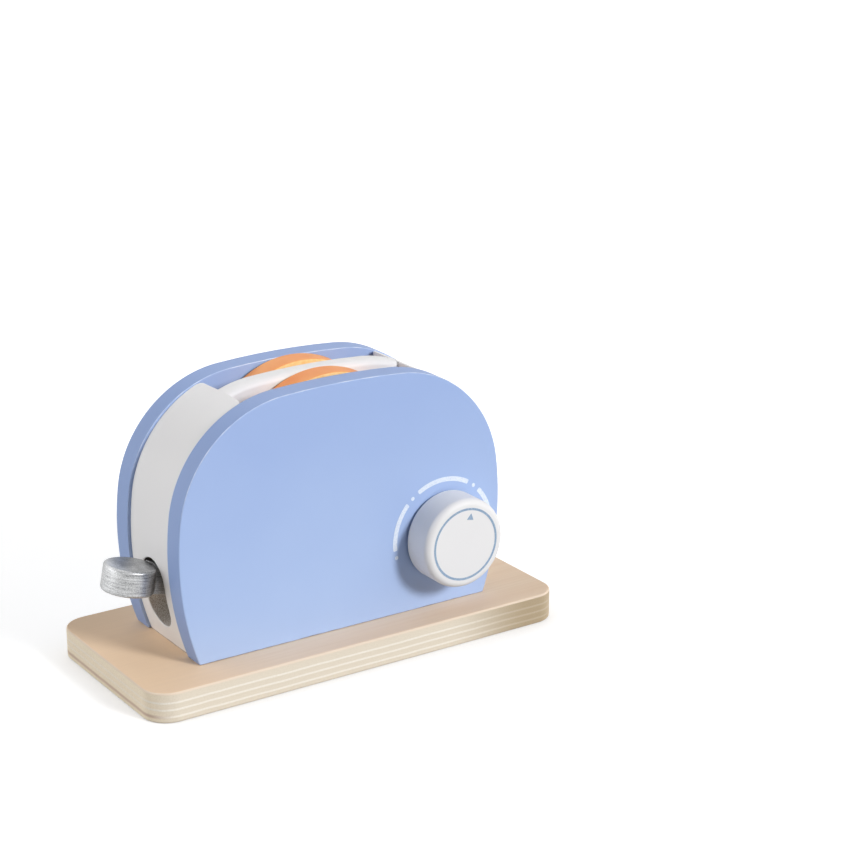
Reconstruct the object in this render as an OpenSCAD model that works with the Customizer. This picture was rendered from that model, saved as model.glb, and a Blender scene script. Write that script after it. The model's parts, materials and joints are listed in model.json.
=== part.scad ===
// Wooden toy toaster. Two arched, painted panels are glued to a white core that leaves two toast slots,
// and the body stands on a plywood base. A see-saw lever in the left end lifts both slices of toast,
// and a dial turns on the front. Millimetres, +Z up, the front faces -Y, and the origin is the middle of
// the base's underside. Heights over the base count from its upper face.

/* [Base board] */
// Length of the base board, left to right
base_l = 220; // [205:1:280]
// Depth of the base board, front to back
base_w = 100; // [94:1:140]
// Thickness of the plywood
base_t = 14.5; // [10:0.5:20]
// Radius of the board's corners in plan
base_corner_r = 12.5; // [3:0.5:20]

/* [Arched body] */
// Greatest width of the two painted panels
arch_w = 172.2; // [160:0.2:186]
// Height of the panels over the base
arch_h = 120; // [112:1:135]
// Height over the base at which the panels are widest
belly_z = 49; // [46:1:60]
// Radius of the bulging sides
side_r = 145; // [120:5:300]
// Radius of the shoulders
shoulder_r = 58.5; // [48:0.5:64]
// Radius of the almost flat top
crown_r = 415; // [300:5:600]
// Thickness of each painted panel
panel_t = 11.5; // [8:0.5:14]
// How far the white core's ends stand back from the panels' edges
core_inset = 1.4; // [0.2:0.1:3]
// Bevel that eases the edges of the boards and slices
ease = 0.8; // [0.3:0.1:1.5]

/* [Toast slots] */
// Width of each slot, front to back
slot_w = 14; // [13.5:0.5:20]
// Length of each slot, left to right
slot_l = 92; // [86:1:98]
// Thickness of the divider between the slots
divider_t = 11; // [8:0.5:14]
// Radius that rounds over the ends of the slots' mouths
mouth_r = 1.2; // [0.6:0.1:6]
// Height of the divider's rail along the base, under the lever
rail_h = 7; // [4:0.5:8]

/* [Toast] */
// Thickness of a slice
toast_t = 12; // [9:0.5:13]
// Width of a slice
toast_w = 82; // [70:1:84]
// Radius of a slice's domed top
toast_crown_r = 46; // [43:1:80]
// Radius of a slice's lower corners
toast_corner_r = 9; // [4:0.5:14]
// How far a slice stands over the panels at rest
toast_proud = 1; // [0:0.5:12]

/* [Lever] */
// Slope of the lever at rest, knob end up, in degrees
lever_tilt = 11.5; // [8:0.5:12]
// Turn of the lever from rest to fully pressed, in degrees
lever_travel = 25; // [15:1:26]
// Height of the lever's pivot over the base
pivot_z = 27.8; // [27:0.1:29]
// Distance from the slots' left ends to the pivot
pivot_inset = 8; // [6:0.5:9]
// Diameter of the pivot dowel
pivot_d = 8; // [5:0.5:9]
// Thickness of the lever arm, front to back
arm_t = 12; // [8:0.5:12.5]
// Height of the lever arm
arm_h = 12.4; // [10:0.2:12.6]
// Diameter of the lever's round knob
knob_d = 24.4; // [20:0.2:30]
// Thickness of the knob
knob_h = 12.4; // [9:0.2:14]
// Radius of the knob's edges
knob_edge_r = 1.2; // [0.4:0.1:3]
// Distance from the pivot to the middle of the knob
knob_reach = 42.8; // [42:0.2:50]
// Diameter of the dowel that joins the knob to the arm
knob_dowel_d = 5; // [3:0.5:7]
// Length of that dowel
knob_dowel_l = 24; // [14:1:30]
// Width of the lever's slot in the body's end
lever_slot_w = 21; // [18.5:0.5:22]
// Height of the lever's slot, round ends included
lever_slot_h = 34; // [30:0.5:35]
// Height of the slot's lower end over the base
lever_slot_z = 9; // [8:0.5:12.5]
// Outer diameter of the spacer rings on the pivot
spacer_d = 14; // [11:0.5:17]

/* [Toast rest] */
// Distance from the pivot to the middle of the cross bar under the slices
rest_reach = 54; // [46:1:60]
// Width of the cross bar along the lever
rest_w = 16; // [12:0.5:20]
// Height of the cross bar over the arm
rest_h = 14; // [10:0.5:18]
// Radius of the cross bar's domed top
rest_dome_r = 12; // [11:0.5:24]
// Room between the cross bar and the panels at each end
rest_end_gap = 2; // [1:0.5:5]

/* [Dial] */
// Diameter of the dial
dial_d = 43.8; // [30:0.2:50]
// Thickness of the dial
dial_h = 16.8; // [12:0.2:18]
// Radius of the dial's front edge
dial_edge_r = 3.2; // [1:0.1:5]
// Distance of the dial's axis to the right of the middle
dial_x = 54.9; // [52:0.1:60]
// Height of the dial's axis over the base
dial_z = 35.3; // [28:0.1:45]
// Diameter of the peg that the dial turns on
peg_d = 8; // [5:0.5:10]
// Depth of the peg's glued end in the dial
peg_bite = 10; // [6:0.5:11]
// Diameter of the peg's head
peg_head_d = 16; // [12:0.5:18]
// Thickness of the peg's head
peg_head_t = 3; // [2:0.25:3.5]
// Diameter of the felt washer behind the dial
washer_d = 24; // [14:1:28]
// Thickness of the felt washer
washer_t = 0.5; // [0.5:0.1:2]

/* [Fastenings] */
// Diameter of the dowels that pin the core and the panels together
core_dowel_d = 6; // [4:0.5:8]
// Depth of each dowel's ends in the panels
dowel_bite = 5; // [3:0.5:6]
// Distance of the upper dowels from the middle
upper_dowel_x = 60; // [56:1:66]
// Height of the upper dowels over the base
upper_dowel_z = 92; // [76:1:96]
// Distance of the lower dowels from the middle
lower_dowel_x = 70; // [60:1:73]
// Height of the lower dowels over the base
lower_dowel_z = 56; // [52:1:64]
// Diameter of the wood screws
screw_d = 3.5; // [2.5:0.1:4.5]
// Diameter of the screws' countersunk heads
screw_head_d = 7; // [6:0.2:8]
// Length of the screws that hold the body to the base
base_screw_l = 32; // [24:1:40]
// Distance of those screws from the middle
base_screw_x = 58; // [40:1:66]
// Length of the screw that holds the cross bar to the arm
rest_screw_l = 20; // [17:0.5:21]

/* [Clearances] */
// Radial clearance of turning pegs and dowels
running_fit = 0.08; // [0.03:0.01:0.1]
// Radial clearance of glued dowels and of screws
glue_fit = 0.05; // [0.02:0.01:0.1]
// Gap left at blind ends, and beside turning faces
end_gap = 0.25; // [0.1:0.05:0.5]
// Gap between the slices and the cross bar that lifts them
lift_gap = 0.3; // [0.2:0.05:0.6]
// Room round the swinging lever in the divider's window
window_gap = 5; // [3:0.5:8]

/* [Hidden] */
// Facets of small and of large rounds in a preview
$fn = 96;
big_fn = 360;
// How far a cutter reaches past what it cuts, and a rounded corner past the faces it runs into
over = 1;
lap = 0.05;

core_w = arch_w - 2 * core_inset;
core_t = 2 * slot_w + divider_t;
body_t = core_t + 2 * panel_t;
slot_y = (divider_t + slot_w) / 2;
panel_y = (core_t + panel_t) / 2;
pinned_l = core_t + 2 * dowel_bite;
core_dowels_xz = [[upper_dowel_x, upper_dowel_z], [lower_dowel_x, lower_dowel_z]];

pivot_x = -slot_l / 2 - pivot_inset;
knob_r = knob_d / 2;
joint_u = knob_r - knob_reach;
spacer_t = (lever_slot_w - arm_t) / 2 - 2 * end_gap;

dome_c = [rest_reach, arm_h / 2 + rest_h - rest_dome_r];
rest_l = core_t - 2 * rest_end_gap;
rest_top_low = pivot_z + turned(dome_c, lever_tilt)[1] + rest_dome_r;
rest_top_high = pivot_z + turned(dome_c, lever_tilt - lever_travel)[1] + rest_dome_r;
window_top = rest_top_high + window_gap;
window_right = pivot_x + rest_reach + rest_w + window_gap;

toast_z = rest_top_low + lift_gap;
toast_h = arch_h + toast_proud - toast_z;

head_t = (screw_head_d - screw_d) / 2;
counterbore_t = peg_head_t + 2 * end_gap;

// A vector's direction
function unit(v) = v / norm(v);

// A point [x, z] turned about the pivot, positive raising the knob's end
function turned(p, a) = [p[0] * cos(a) + p[1] * sin(a), p[1] * cos(a) - p[0] * sin(a)];

// Middles of the arcs of an arch of width w: its right side, its top, and the shoulder that touches both
function side_c(w) = [w / 2 - side_r, belly_z];
crown_c = [0, arch_h - crown_r];
function shoulder_c(w) =
    let (s = side_c(w), d = norm(crown_c - s), u = (crown_c - s) / d)
    let (rs = side_r - shoulder_r, rc = crown_r - shoulder_r)
    let (t = (rs * rs - rc * rc + d * d) / (2 * d))
    s + t * u + sqrt(rs * rs - t * t) * [-u[1], u[0]];

// The children and their mirror image across x = 0
module both_sides() {
    children();
    mirror([1, 0, 0]) children();
}

// Stands a drawing of x and z upright, with its thickness t centred on y
module upright(y, t) {
    translate([0, y + t / 2, base_t]) rotate([90, 0, 0]) children();
}

// A round bar along Y, centred on y, at x and at z over the base
module cross_bar(x, y, z, r, l) {
    translate([x, y + l / 2, base_t + z]) rotate([90, 0, 0]) cylinder(r = r, h = l);
}

// The children in the lever's own frame: pivot at the origin, knob towards -X, turned to the rest slope
module in_lever() {
    translate([pivot_x, 0, base_t + pivot_z]) rotate([0, lever_tilt, 0]) children();
}

// The wedge outside a rounded corner with middle c, between its tangent points p and q, through a board
module wedge(c, p, q, t) {
    reach = 3;
    translate([0, 0, -over]) linear_extrude(t + 2 * over)
        polygon([c, c + reach * (p - c), c + reach * (p + q - 2 * c), c + reach * (q - c)]);
}

// A disc of radius r and thickness t, its edges eased by e
module disc(r, t, e) {
    rotate_extrude($fn = big_fn)
        polygon(e > 0 ? [[0, 0], [r - e, 0], [r, e], [r, t - e], [r - e, t], [0, t]]
                      : [[0, 0], [r, 0], [r, t], [0, t]]);
}

// A slab l by w, centred in plan, of thickness t, with eased edges
module eased_slab(l, w, t) {
    intersection() {
        rotate([90, 0, 0]) translate([0, 0, -w]) linear_extrude(2 * w) eased_section(l, t);
        rotate([90, 0, 90]) translate([0, 0, -l]) linear_extrude(2 * l) eased_section(w, t);
    }
}

// The section of a slab of width w and thickness t with eased edges
module eased_section(w, t) {
    a = w / 2;
    polygon([[ease - a, 0], [a - ease, 0], [a, ease], [a, t - ease], [a - ease, t], [ease - a, t],
             [-a, t - ease], [-a, ease]]);
}

// A wood screw with a countersunk head, its head's face at the origin and its point towards +Z
module screw(l) {
    point_l = 1.5 * screw_d;
    rotate_extrude() polygon([[0, 0], [screw_head_d / 2, 0], [screw_d / 2, head_t],
                              [screw_d / 2, l - point_l], [0, l]]);
}

// The hole for a screw of length l, with its countersink
module screw_hole(l) {
    translate([0, 0, -over]) cylinder(d = screw_head_d + 2 * glue_fit, h = over);
    cylinder(d1 = screw_head_d + 2 * glue_fit, d2 = screw_d + 2 * glue_fit, h = head_t);
    cylinder(d = screw_d + 2 * glue_fit, h = l + end_gap);
}

// Where the four base screws stand, each with its head at the base's underside
module at_base_screws() {
    for (x = [-base_screw_x, base_screw_x], y = [-panel_y, panel_y])
        translate([x, y, 0]) children();
}

// The holes that the core's dowels leave in whatever they pass through
module core_dowel_holes() {
    both_sides() for (p = core_dowels_xz)
        cross_bar(p[0], 0, p[1], core_dowel_d / 2 + glue_fit, pinned_l + 2 * end_gap);
}

// The hole of the pivot dowel in the body
module pivot_hole() {
    cross_bar(pivot_x, 0, pivot_z, pivot_d / 2 + glue_fit, pinned_l + 2 * end_gap);
}

// The lever's slot: a round-ended channel from the body's left end to the toast slots
module lever_pocket() {
    r = lever_slot_w / 2;
    length = (core_w - slot_l) / 2 + 2 * over;
    translate([-core_w / 2 - over, 0, base_t + lever_slot_z]) rotate([90, 0, 90]) linear_extrude(length) {
        translate([-r, r]) square([2 * r, lever_slot_h - 2 * r]);
        intersection() {
            translate([0, r]) circle(r);
            translate([-2 * r, -r]) square([4 * r, 2 * r]);
        }
        intersection() {
            translate([0, lever_slot_h - r]) circle(r);
            translate([-2 * r, lever_slot_h - r]) square([4 * r, 2 * r]);
        }
    }
}

// The arched board of width w and thickness t, its edges eased by e. The shoulders lap a little over the
// arcs of the crown and the sides that they run into.
module arched_board(w, t, e) {
    c = shoulder_c(w);
    on_side = c + shoulder_r * unit(c - side_c(w));
    on_crown = c + shoulder_r * unit(c - crown_c);
    intersection() {
        union() {
            difference() {
                intersection() {
                    translate(crown_c) disc(crown_r, t, e);
                    translate(side_c(w)) disc(side_r, t, e);
                    mirror([1, 0, 0]) translate(side_c(w)) disc(side_r, t, e);
                }
                both_sides() wedge(c, on_side, on_crown, t);
            }
            both_sides() translate(c) disc(shoulder_r + lap, t, e);
        }
        translate([-w, 0, -over]) cube([2 * w, 2 * arch_h, t + 2 * over]);
    }
}

// One of the core's right end blocks, in front of (side -1) or behind (side 1) the divider: the arch beyond
// the toast slots, its upper inner corner rounded over
module end_block(side) {
    s = shoulder_c(core_w);
    x = slot_l / 2 + mouth_r;
    c = [x, s[1] + sqrt(pow(shoulder_r - mouth_r, 2) - pow(x - s[0], 2))];
    on_wall = [slot_l / 2, c[1]];
    on_shoulder = s + shoulder_r * unit(c - s);
    upright(side * slot_y, slot_w) {
        difference() {
            intersection() {
                arched_board(core_w, slot_w, 0);
                translate([slot_l / 2, -over, -over]) cube([core_w, 2 * arch_h, slot_w + 2 * over]);
            }
            wedge(c, on_wall, on_shoulder, slot_w);
        }
        translate(c) disc(mouth_r + lap, slot_w, 0);
    }
}

// A slice of toast: domed top, straight sides, round lower corners
module toast(side) {
    corner_x = toast_w / 2 - toast_corner_r;
    crown_z = toast_h - toast_crown_r;
    translate([0, 0, toast_z]) upright(side * slot_y, toast_t) {
        difference() {
            intersection() {
                translate([0, toast_h / 2 + over]) eased_slab(toast_w, toast_h + 2 * over, toast_t);
                union() {
                    translate([0, crown_z]) disc(toast_crown_r, toast_t, ease);
                    translate([-toast_w, -over, -over])
                        cube([2 * toast_w, crown_z + over, toast_t + 2 * over]);
                }
            }
            both_sides() translate([corner_x, -over, -over])
                cube([2 * toast_corner_r, toast_corner_r + over, toast_t + 2 * over]);
        }
        both_sides() intersection() {
            translate([corner_x, toast_corner_r]) disc(toast_corner_r, toast_t, ease);
            translate([corner_x, -over, -over]) cube([2 * toast_corner_r, toast_corner_r + over,
                                                      toast_t + 2 * over]);
        }
    }
}

// The plywood base: rounded corners, eased edges, and holes for the screws that hold the body
module base_board() {
    corner_x = base_l / 2 - base_corner_r;
    corner_y = base_w / 2 - base_corner_r;
    color("burlywood") difference() {
        union() {
            difference() {
                eased_slab(base_l, base_w, base_t);
                for (sx = [-1, 1], sy = [-1, 1])
                    corner_cube(sx, sy, corner_x, corner_y);
            }
            for (sx = [-1, 1], sy = [-1, 1]) intersection() {
                translate([sx * corner_x, sy * corner_y]) disc(base_corner_r, base_t, ease);
                corner_cube(sx, sy, corner_x, corner_y);
            }
        }
        at_base_screws() screw_hole(base_screw_l);
    }
}

// The square at one corner of the base board that its rounded corner replaces
module corner_cube(sx, sy, x, y) {
    size = 2 * base_corner_r;
    translate([sx * (x + size / 2), sy * (y + size / 2), base_t / 2])
        cube([size, size, base_t + 2 * over], center = true);
}

// Four wood screws from below, up into the panels
module base_screws() {
    color("silver") at_base_screws() screw(base_screw_l);
}

// A painted panel with the blind holes of the dowels and the screws, before any hole for the dial
module blank_panel(side) {
    difference() {
        upright(side * panel_y, panel_t) arched_board(arch_w, panel_t, ease);
        core_dowel_holes();
        pivot_hole();
        at_base_screws() screw_hole(base_screw_l);
    }
}

// The front panel, bored for the dial's peg and counterbored behind for the peg's head
module front_panel() {
    face_y = -core_t / 2;
    color("#a3bae8") difference() {
        blank_panel(-1);
        cross_bar(dial_x, face_y - panel_t / 2, dial_z, peg_d / 2 + running_fit, panel_t + 2 * over);
        cross_bar(dial_x, face_y, dial_z, peg_head_d / 2 + end_gap, 2 * counterbore_t);
    }
}

// The rear panel, plain on its outside
module rear_panel() {
    color("#a3bae8") blank_panel(1);
}

// The board between the slots, with a window in which the lever swings over a low rail
module centre_divider() {
    color("whitesmoke") difference() {
        upright(0, divider_t) arched_board(core_w, divider_t, 0);
        translate([-slot_l / 2, -divider_t, base_t + rail_h])
            cube([window_right + slot_l / 2, 2 * divider_t, window_top - rail_h]);
        lever_pocket();
        core_dowel_holes();
        pivot_hole();
    }
}

// A left end block, which also holds the pivot and one side of the lever's slot
module left_block(side) {
    difference() {
        mirror([1, 0, 0]) end_block(side);
        lever_pocket();
        core_dowel_holes();
        pivot_hole();
    }
}

// A right end block
module right_block(side) {
    difference() {
        end_block(side);
        core_dowel_holes();
    }
}

// The four end blocks, glued between the divider and the panels
module front_left_block() {
    color("whitesmoke") left_block(-1);
}

module rear_left_block() {
    color("whitesmoke") left_block(1);
}

module front_right_block() {
    color("whitesmoke") right_block(-1);
}

module rear_right_block() {
    color("whitesmoke") right_block(1);
}

// Four dowels through the core, their ends in the panels
module core_dowels() {
    color("tan") both_sides() for (p = core_dowels_xz)
        cross_bar(p[0], 0, p[1], core_dowel_d / 2, pinned_l);
}

// The see-saw arm, its outer end hollowed to seat on the knob
module lever_arm() {
    color("darkgray") in_lever() difference() {
        translate([-knob_reach, -arm_t / 2, -arm_h / 2])
            cube([knob_reach + rest_reach + rest_w / 2, arm_t, arm_h]);
        translate([-knob_reach, 0, -arm_h]) cylinder(r = knob_r + glue_fit, h = 2 * arm_h);
        rotate([90, 0, 0]) cylinder(d = pivot_d + 2 * running_fit, h = 2 * arm_t, center = true);
        knob_dowel_bar(glue_fit);
        translate([rest_reach, 0, -arm_h / 2]) screw_hole(rest_screw_l);
    }
}

// The dowel between knob and arm, in the lever's frame, wider and longer by a clearance
module knob_dowel_bar(clearance) {
    length = knob_dowel_l + 2 * clearance;
    translate([joint_u - length / 2, 0, 0]) rotate([0, 90, 0])
        cylinder(d = knob_dowel_d + 2 * clearance, h = length);
}

// The round knob, its edges rounded
module lever_knob() {
    r = knob_edge_r;
    color("silver") in_lever() difference() {
        translate([-knob_reach, 0, -knob_h / 2]) rotate_extrude() {
            square([knob_r - r, knob_h]);
            translate([knob_r - r, r]) square([r, knob_h - 2 * r]);
            intersection() {
                translate([knob_r - r, r]) circle(r);
                translate([knob_r - r, 0]) square([2 * r, r]);
            }
            intersection() {
                translate([knob_r - r, knob_h - r]) circle(r);
                translate([knob_r - r, knob_h - r]) square([2 * r, r]);
            }
        }
        knob_dowel_bar(glue_fit);
    }
}

// The glued dowel between knob and arm
module knob_dowel() {
    color("tan") in_lever() knob_dowel_bar(0);
}

// The domed cross bar on the arm's inner end that carries both slices
module toast_rest() {
    color("tan") in_lever() difference() {
        translate([rest_reach, rest_l / 2, arm_h / 2]) rotate([90, 0, 0]) linear_extrude(rest_l)
            intersection() {
                translate([-rest_w / 2, 0]) square([rest_w, rest_h + over]);
                translate([0, rest_h - rest_dome_r]) circle(rest_dome_r);
            }
        translate([rest_reach, 0, -arm_h / 2]) screw_hole(rest_screw_l);
    }
}

// The screw that holds the cross bar, from under the arm
module rest_screw() {
    color("silver") in_lever() translate([rest_reach, 0, -arm_h / 2]) screw(rest_screw_l);
}

// The dowel that the arm swings on, fixed in the blocks and the panels
module pivot_dowel() {
    color("tan") cross_bar(pivot_x, 0, pivot_z, pivot_d / 2, pinned_l);
}

// Rings on the pivot that keep the arm in the middle of its slot
module pivot_spacers() {
    y = (arm_t + spacer_t) / 2 + end_gap;
    color("tan") for (side = [-1, 1]) difference() {
        cross_bar(pivot_x, side * y, pivot_z, spacer_d / 2, spacer_t);
        cross_bar(pivot_x, side * y, pivot_z, pivot_d / 2 + glue_fit, spacer_t + 2 * over);
    }
}

// The two slices, one in each slot
module front_toast() {
    color("sandybrown") toast(-1);
}

module rear_toast() {
    color("sandybrown") toast(1);
}

// The children in the dial's frame: the dial's back on the origin, its front towards +Z
module in_dial() {
    back_y = -body_t / 2 - washer_t - end_gap;
    translate([dial_x, back_y, base_t + dial_z]) rotate([90, 0, 0]) children();
}

// The turned dial: a rounded front edge, and a blind hole behind for its peg
module dial_knob() {
    r = dial_edge_r;
    dial_r = dial_d / 2;
    color("white") in_dial() difference() {
        rotate_extrude() {
            polygon([[0, 0], [dial_r - ease, 0], [dial_r, ease], [dial_r, dial_h - r],
                     [dial_r - r, dial_h - r], [dial_r - r, dial_h], [0, dial_h]]);
            intersection() {
                translate([dial_r - r, dial_h - r]) circle(r);
                translate([dial_r - r, dial_h - r]) square([2 * r, 2 * r]);
            }
        }
        translate([0, 0, -over]) cylinder(d = peg_d + 2 * glue_fit, h = peg_bite + end_gap + over);
    }
}

// The headed peg that is glued into the dial and held behind the front panel
module dial_peg() {
    shaft_l = washer_t + end_gap + panel_t - counterbore_t + end_gap;
    color("tan") in_dial() {
        translate([0, 0, -shaft_l]) cylinder(d = peg_d, h = shaft_l + peg_bite);
        translate([0, 0, -shaft_l - peg_head_t]) cylinder(d = peg_head_d, h = peg_head_t);
    }
}

// The felt washer that lies loose on the peg between the dial and the panel
module dial_washer() {
    color("dimgray") in_dial() translate([0, 0, -end_gap - washer_t]) difference() {
        cylinder(d = washer_d, h = washer_t);
        translate([0, 0, -over]) cylinder(d = peg_d + 2 * running_fit, h = washer_t + 2 * over);
    }
}

base_board();
base_screws();
front_panel();
rear_panel();
centre_divider();
front_left_block();
rear_left_block();
front_right_block();
rear_right_block();
core_dowels();
lever_arm();
lever_knob();
knob_dowel();
toast_rest();
rest_screw();
pivot_dowel();
pivot_spacers();
front_toast();
rear_toast();
dial_knob();
dial_peg();
dial_washer();
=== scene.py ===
import json
import math

import bmesh
import bpy
from mathutils import Matrix, Vector


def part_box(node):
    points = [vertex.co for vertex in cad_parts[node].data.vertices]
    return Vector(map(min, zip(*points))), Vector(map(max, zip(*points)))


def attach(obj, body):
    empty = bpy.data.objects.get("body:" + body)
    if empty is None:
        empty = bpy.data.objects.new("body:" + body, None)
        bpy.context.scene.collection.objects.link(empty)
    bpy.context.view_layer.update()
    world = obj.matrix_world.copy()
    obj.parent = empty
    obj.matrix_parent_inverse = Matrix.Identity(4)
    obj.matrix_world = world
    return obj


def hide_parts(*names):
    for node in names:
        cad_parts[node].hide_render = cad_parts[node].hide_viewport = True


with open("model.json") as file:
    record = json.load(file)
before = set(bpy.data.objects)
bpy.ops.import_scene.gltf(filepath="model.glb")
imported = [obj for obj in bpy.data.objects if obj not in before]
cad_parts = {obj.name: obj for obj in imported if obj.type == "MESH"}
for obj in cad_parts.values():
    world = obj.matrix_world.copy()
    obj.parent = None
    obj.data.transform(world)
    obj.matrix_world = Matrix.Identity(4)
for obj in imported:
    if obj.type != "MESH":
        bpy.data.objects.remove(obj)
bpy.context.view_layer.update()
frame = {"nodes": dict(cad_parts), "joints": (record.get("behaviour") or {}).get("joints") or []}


# Base board. Birch plywood, sawn out with round corners, its edges sanded soft and the wood left bare.
# Countersunk holes in the underside take the four screws that go up into the panels.
MM = 0.001
TINY = 0.001 * MM
base_low, base_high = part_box("base_board")
base_corner_r = 12.5 * MM
base_ease = 1.0 * MM
screws_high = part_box("base_screws")[1]
screw_head_r = 3.5 * MM
screw_shank_r = 1.75 * MM
screw_x = screws_high.x - screw_head_r
screw_y = screws_high.y - screw_head_r
screw_places = [(x, y, 0) for x in (-screw_x, screw_x) for y in (-screw_y, screw_y)]
glue_fit = 0.05 * MM
end_gap = 0.25 * MM


def fresh():
    """Leaves edit mode and deselects everything, so that the next operator acts on its own piece alone."""
    if bpy.context.object is not None and bpy.context.object.mode == "EDIT":
        bpy.ops.object.mode_set(mode="OBJECT")
    bpy.ops.object.select_all(action="DESELECT")


def take(piece):
    """Selects one piece and nothing else."""
    fresh()
    piece.select_set(True)
    bpy.context.view_layer.objects.active = piece


def open_new(name):
    """Names the piece that was just added and opens it in edit mode."""
    piece = bpy.context.object
    piece.name = name
    piece.data.name = name
    bpy.ops.object.mode_set(mode="EDIT")
    return piece


def add_box(name, low, high):
    """Adds a cube primitive between two corners, with its place in its mesh, and opens it in edit mode."""
    fresh()
    low, high = Vector(low), Vector(high)
    bpy.ops.mesh.primitive_cube_add(size=1, location=(low + high) / 2, scale=high - low)
    bpy.ops.object.transform_apply(location=True, rotation=True, scale=True)
    return open_new(name)


def pick(kind, test):
    """In edit mode, selects the vertices, edges or faces that pass a test, and nothing else."""
    bpy.ops.mesh.select_mode(type=kind)
    bpy.ops.mesh.select_all(action="DESELECT")
    shape = bmesh.from_edit_mesh(bpy.context.object.data)
    for part in {"VERT": shape.verts, "EDGE": shape.edges, "FACE": shape.faces}[kind]:
        if test(part):
            part.select_set(True)
    bmesh.update_edit_mesh(bpy.context.object.data)


def runs_along(edge, axis):
    """Whether an edge runs along an axis, 0 for X to 2 for Z."""
    step = edge.verts[1].co - edge.verts[0].co
    return abs(step[axis]) > 0.999 * step.length


def lies_level(edge, axis):
    """Whether both ends of an edge are at the same place along an axis."""
    return abs(edge.verts[1].co[axis] - edge.verts[0].co[axis]) < TINY


def put_pen(name, point):
    """Starts a drawing: a new piece that is one vertex, the pen, open in edit mode."""
    fresh()
    bpy.ops.mesh.primitive_plane_add(size=MM)
    piece = open_new(name)
    bpy.ops.mesh.select_mode(type="VERT")
    bpy.ops.mesh.merge(type="CENTER")
    bpy.ops.transform.translate(value=point)
    return piece


def draw_to(point):
    """Draws a straight line from the pen to a point."""
    shape = bmesh.from_edit_mesh(bpy.context.object.data)
    pen = next(v.co.copy() for v in shape.verts if v.select)
    bpy.ops.mesh.extrude_vertices_move(TRANSFORM_OT_translate={"value": Vector(point) - pen})


def tidy_skin():
    """Merges what lies on one point and turns all faces of a closed mesh outwards."""
    bpy.ops.mesh.select_all(action="SELECT")
    bpy.ops.mesh.remove_doubles(threshold=TINY)
    bpy.ops.mesh.normals_make_consistent(inside=False)


def lathe(steps=96):
    """Spins a drawn profile, radius in X and height in Z, once round the Z axis."""
    bpy.ops.mesh.select_all(action="SELECT")
    bpy.ops.mesh.spin(steps=steps, angle=2 * math.pi, center=(0, 0, 0), axis=(0, 0, 1))
    tidy_skin()
    bpy.ops.object.mode_set(mode="OBJECT")


def join_all(pieces):
    """Joins pieces into the first of them."""
    take(pieces[0])
    for piece in pieces[1:]:
        piece.select_set(True)
    bpy.ops.object.join()
    return pieces[0]


def set_out(piece, places):
    """Sets out copies of a piece at these places, each with its own mesh, and joins them into one object."""
    made = []
    for place in places:
        take(piece)
        bpy.ops.object.duplicate()
        bpy.ops.transform.translate(value=place)
        made.append(bpy.context.object)
    name = piece.name
    bpy.data.objects.remove(piece)
    joined = join_all(made)
    bpy.ops.object.transform_apply(location=True, rotation=True, scale=True)
    joined.name = name
    return joined


def cut(piece, cutter, operation="DIFFERENCE"):
    """Cuts a closed mesh out of a piece, or keeps only what lies inside it."""
    take(piece)
    boolean = piece.modifiers.new("cut", "BOOLEAN")
    boolean.object = cutter
    boolean.operation = operation
    bpy.ops.object.modifier_apply(modifier=boolean.name)


def shade(piece, degrees=35):
    """Shades rounded edges and curves smooth, and keeps the flat faces between them flat."""
    take(piece)
    bpy.ops.object.shade_smooth_by_angle(angle=math.radians(degrees))
    weighted = piece.modifiers.new("flat faces", "WEIGHTED_NORMAL")
    weighted.keep_sharp = True
    bpy.ops.object.modifier_apply(modifier=weighted.name)


base = add_box("plywood_base", base_low, base_high)
pick("EDGE", lambda edge: runs_along(edge, 2))
bpy.ops.mesh.bevel(offset=base_corner_r, segments=16, affect="EDGES")
pick("EDGE", lambda edge: lies_level(edge, 2))
bpy.ops.mesh.bevel(offset=base_ease, segments=4, affect="EDGES")

screw_holes = put_pen("screw_holes", (0, 0, -MM))
draw_to((screw_head_r + glue_fit, 0, -MM))
draw_to((screw_head_r + glue_fit, 0, 0))
draw_to((screw_shank_r + glue_fit, 0, screw_head_r - screw_shank_r))
draw_to((screw_shank_r + glue_fit, 0, screws_high.z + end_gap))
draw_to((0, 0, screws_high.z + end_gap))
lathe(steps=32)
screw_holes = set_out(screw_holes, screw_places)
cut(base, screw_holes)
shade(base)


def linear(code):
    """A colour written as sRGB hex, as the linear RGBA that a shader takes."""
    parts = [int(code[i:i + 2], 16) / 255 for i in (1, 3, 5)]
    return [p / 12.92 if p <= 0.04045 else ((p + 0.055) / 1.055) ** 2.4 for p in parts] + [1.0]


def add(tree, kind, inputs=(), **settings):
    """Adds a node, with its settings, and gives each of its inputs a value or a link."""
    node = tree.nodes.new(kind)
    for name, value in settings.items():
        setattr(node, name, value)
    for name, value in dict(inputs).items():
        if isinstance(value, bpy.types.NodeSocket):
            tree.links.new(value, node.inputs[name])
        else:
            node.inputs[name].default_value = value
    return node


def start_material(name, sockets):
    """Starts a material: its tree, its coordinates, and its shader with what is the same all over."""
    made = bpy.data.materials.new(name)
    made.use_nodes = True
    shader = made.node_tree.nodes["Principled BSDF"]
    for socket, value in sockets.items():
        shader.inputs[socket].default_value = value
    return made, made.node_tree, shader, add(made.node_tree, "ShaderNodeTexCoord")


def coat(piece, finish):
    """Gives a piece one material."""
    piece.data.materials.clear()
    piece.data.materials.append(finish)


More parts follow.
